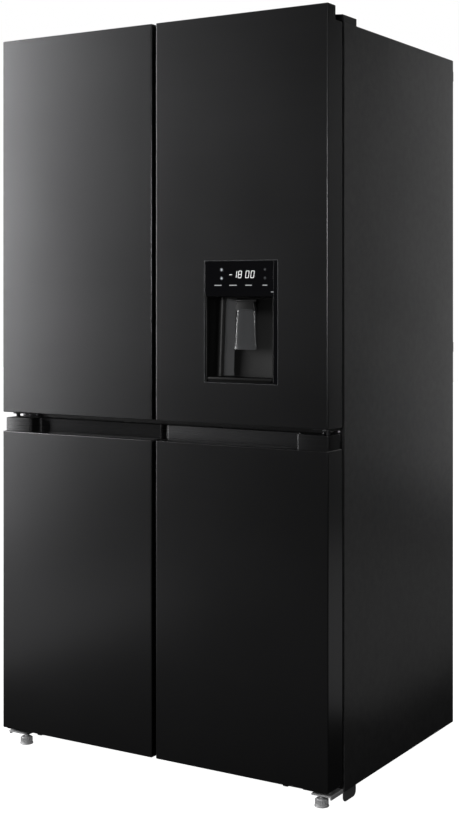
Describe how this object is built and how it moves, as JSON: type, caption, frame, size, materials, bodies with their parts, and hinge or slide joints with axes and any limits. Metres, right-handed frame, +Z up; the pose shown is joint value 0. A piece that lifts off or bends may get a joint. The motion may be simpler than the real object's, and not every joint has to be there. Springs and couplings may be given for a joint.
{
  "type": "french door refrigerator",
  "caption": "Tall dark refrigerator with two upper and two lower swing doors, a recessed water dispenser, inner drawers, shelves, bins and levelling feet.",
  "frame": {"origin": "middle of the footprint, on the floor", "axes": "+Z up, doors face -Y, +X to the right seen from the front"},
  "size_m": [0.912, 0.692, 1.75],
  "materials": {
    "door_steel": "satin",
    "cabinet_steel": "satin",
    "galvanised_steel": "satin",
    "insulation": "matte",
    "liner_plastic": "gloss",
    "trim_plastic": "matte",
    "grip_plastic": "satin",
    "hinge_steel": "satin",
    "screw_steel": "satin",
    "shelf_glass": "polished",
    "coil_aluminium": "satin",
    "compressor_paint": "satin",
    "condenser_steel": "satin",
    "roller_plastic": "matte",
    "clear_plastic": "gloss",
    "gasket_rubber": "matte",
    "dispenser_plastic": "satin",
    "control_glass": "polished",
    "paddle_plastic": "gloss"
  },
  "bodies": {
    "cabinet": {"cabinet_shell": "cabinet_steel", "back_panel": "galvanised_steel", "base_tray": "galvanised_steel", "cabinet_foam": "insulation", "fridge_liner": "liner_plastic", "freezer_liner": "liner_plastic", "freezer_divider": "liner_plastic", "cross_rail": "trim_plastic", "top_hinges": "hinge_steel", "middle_hinges": "hinge_steel", "bottom_hinges": "galvanised_steel", "hinge_covers": "trim_plastic", "hinge_screws": "screw_steel", "rear_spacers": "trim_plastic", "glass_shelves": "shelf_glass", "air_duct": "liner_plastic", "evaporator_coil": "coil_aluminium", "evaporator_cover": "liner_plastic", "compressor": "compressor_paint", "condenser_coil": "condenser_steel", "drain_pan": "liner_plastic", "machine_cover": "trim_plastic", "fan_mounts": "trim_plastic", "roller_brackets": "galvanised_steel"},
    "upper_left_door": {"upper_left_skin": "door_steel", "upper_left_caps": "trim_plastic", "upper_left_liner": "liner_plastic", "upper_left_gasket": "gasket_rubber", "upper_left_bins": "clear_plastic"},
    "upper_right_door": {"upper_right_skin": "door_steel", "upper_right_caps": "trim_plastic", "upper_right_liner": "liner_plastic", "upper_right_gasket": "gasket_rubber", "upper_right_bins": "clear_plastic", "dispenser_housing": "dispenser_plastic", "control_panel": "control_glass", "water_tank": "clear_plastic"},
    "lower_left_door": {"lower_left_skin": "door_steel", "lower_left_caps": "grip_plastic", "lower_left_liner": "liner_plastic", "lower_left_gasket": "gasket_rubber"},
    "lower_right_door": {"lower_right_skin": "door_steel", "lower_right_caps": "grip_plastic", "lower_right_liner": "liner_plastic", "lower_right_gasket": "gasket_rubber"},
    "condenser_fan": {"condenser_fan": "trim_plastic"},
    "evaporator_fan": {"evaporator_fan": "liner_plastic"},
    "left_roller": {"left_roller": "roller_plastic"},
    "right_roller": {"right_roller": "roller_plastic"},
    "left_foot": {"left_foot": "galvanised_steel"},
    "right_foot": {"right_foot": "galvanised_steel"},
    "left_top_drawer": {"left_top_drawer": "clear_plastic"},
    "left_bottom_drawer": {"left_bottom_drawer": "clear_plastic"},
    "right_top_drawer": {"right_top_drawer": "clear_plastic"},
    "right_bottom_drawer": {"right_bottom_drawer": "clear_plastic"},
    "left_crisper": {"left_crisper": "clear_plastic"},
    "right_crisper": {"right_crisper": "clear_plastic"},
    "mullion": {"flip_mullion": "liner_plastic"},
    "paddle": {"dispenser_paddle": "paddle_plastic"},
    "tray": {"drip_tray": "trim_plastic"}
  },
  "joints": [
    {"name": "upper_left_door_hinge", "type": "hinge", "parent": "cabinet", "child": "upper_left_door", "pos_m": [-0.438, -0.308, 1.29], "axis": [0, 0, -1], "range_deg": [0, 120]},
    {"name": "lower_left_door_hinge", "type": "hinge", "parent": "cabinet", "child": "lower_left_door", "pos_m": [-0.438, -0.308, 0.43], "axis": [0, 0, -1], "range_deg": [0, 120]},
    {"name": "upper_right_door_hinge", "type": "hinge", "parent": "cabinet", "child": "upper_right_door", "pos_m": [0.438, -0.308, 1.29], "axis": [0, 0, 1], "range_deg": [0, 120]},
    {"name": "lower_right_door_hinge", "type": "hinge", "parent": "cabinet", "child": "lower_right_door", "pos_m": [0.438, -0.308, 0.43], "axis": [0, 0, 1], "range_deg": [0, 120]},
    {"name": "mullion_fold", "type": "hinge", "parent": "upper_left_door", "child": "mullion", "pos_m": [-0.0315, -0.261, 1.265], "axis": [0, 0, -1], "range_deg": [0, 90]},
    {"name": "paddle_press", "type": "hinge", "parent": "upper_right_door", "child": "paddle", "pos_m": [0.229, -0.314, 1.107], "axis": [1, 0, 0], "range_deg": [0, 10], "stiffness_Nm_per_rad": 0.3, "springref_deg": -8.59},
    {"name": "drip_tray_slide", "type": "slide", "parent": "upper_right_door", "child": "tray", "axis": [0, -1, 0], "range_m": [0, 0.04]},
    {"name": "left_top_drawer_slide", "type": "slide", "parent": "cabinet", "child": "left_top_drawer", "axis": [0, -1, 0], "range_m": [0, 0.15]},
    {"name": "left_bottom_drawer_slide", "type": "slide", "parent": "cabinet", "child": "left_bottom_drawer", "axis": [0, -1, 0], "range_m": [0, 0.15]},
    {"name": "left_crisper_slide", "type": "slide", "parent": "cabinet", "child": "left_crisper", "axis": [0, -1, 0], "range_m": [0, 0.15]},
    {"name": "left_foot_turn", "type": "hinge", "parent": "cabinet", "child": "left_foot", "pos_m": [-0.417, -0.301, 0.01], "axis": [0, 0, 1], "continuous": true},
    {"name": "left_roller_spin", "type": "hinge", "parent": "cabinet", "child": "left_roller", "pos_m": [-0.396, 0.29, 0.02], "axis": [1, 0, 0], "continuous": true},
    {"name": "right_top_drawer_slide", "type": "slide", "parent": "cabinet", "child": "right_top_drawer", "axis": [0, -1, 0], "range_m": [0, 0.15]},
    {"name": "right_bottom_drawer_slide", "type": "slide", "parent": "cabinet", "child": "right_bottom_drawer", "axis": [0, -1, 0], "range_m": [0, 0.15]},
    {"name": "right_crisper_slide", "type": "slide", "parent": "cabinet", "child": "right_crisper", "axis": [0, -1, 0], "range_m": [0, 0.15]},
    {"name": "right_foot_turn", "type": "hinge", "parent": "cabinet", "child": "right_foot", "pos_m": [0.417, -0.301, 0.01], "axis": [0, 0, 1], "continuous": true},
    {"name": "right_roller_spin", "type": "hinge", "parent": "cabinet", "child": "right_roller", "pos_m": [0.396, 0.29, 0.02], "axis": [1, 0, 0], "continuous": true},
    {"name": "condenser_fan_spin", "type": "hinge", "parent": "cabinet", "child": "condenser_fan", "pos_m": [0.06, 0.25, 0.15], "axis": [0, 1, 0], "continuous": true},
    {"name": "evaporator_fan_spin", "type": "hinge", "parent": "cabinet", "child": "evaporator_fan", "pos_m": [0, 0.172, 0.7], "axis": [0, 1, 0], "continuous": true}
  ],
  "couplings": [
    {"joint": "left_top_drawer_slide", "follows": "lower_left_door_hinge", "m_per_rad": 0.07},
    {"joint": "left_bottom_drawer_slide", "follows": "lower_left_door_hinge", "m_per_rad": 0.07},
    {"joint": "left_crisper_slide", "follows": "upper_left_door_hinge", "m_per_rad": 0.07},
    {"joint": "right_top_drawer_slide", "follows": "lower_right_door_hinge", "m_per_rad": 0.07},
    {"joint": "right_bottom_drawer_slide", "follows": "lower_right_door_hinge", "m_per_rad": 0.07},
    {"joint": "right_crisper_slide", "follows": "upper_right_door_hinge", "m_per_rad": 0.07}
  ]
}
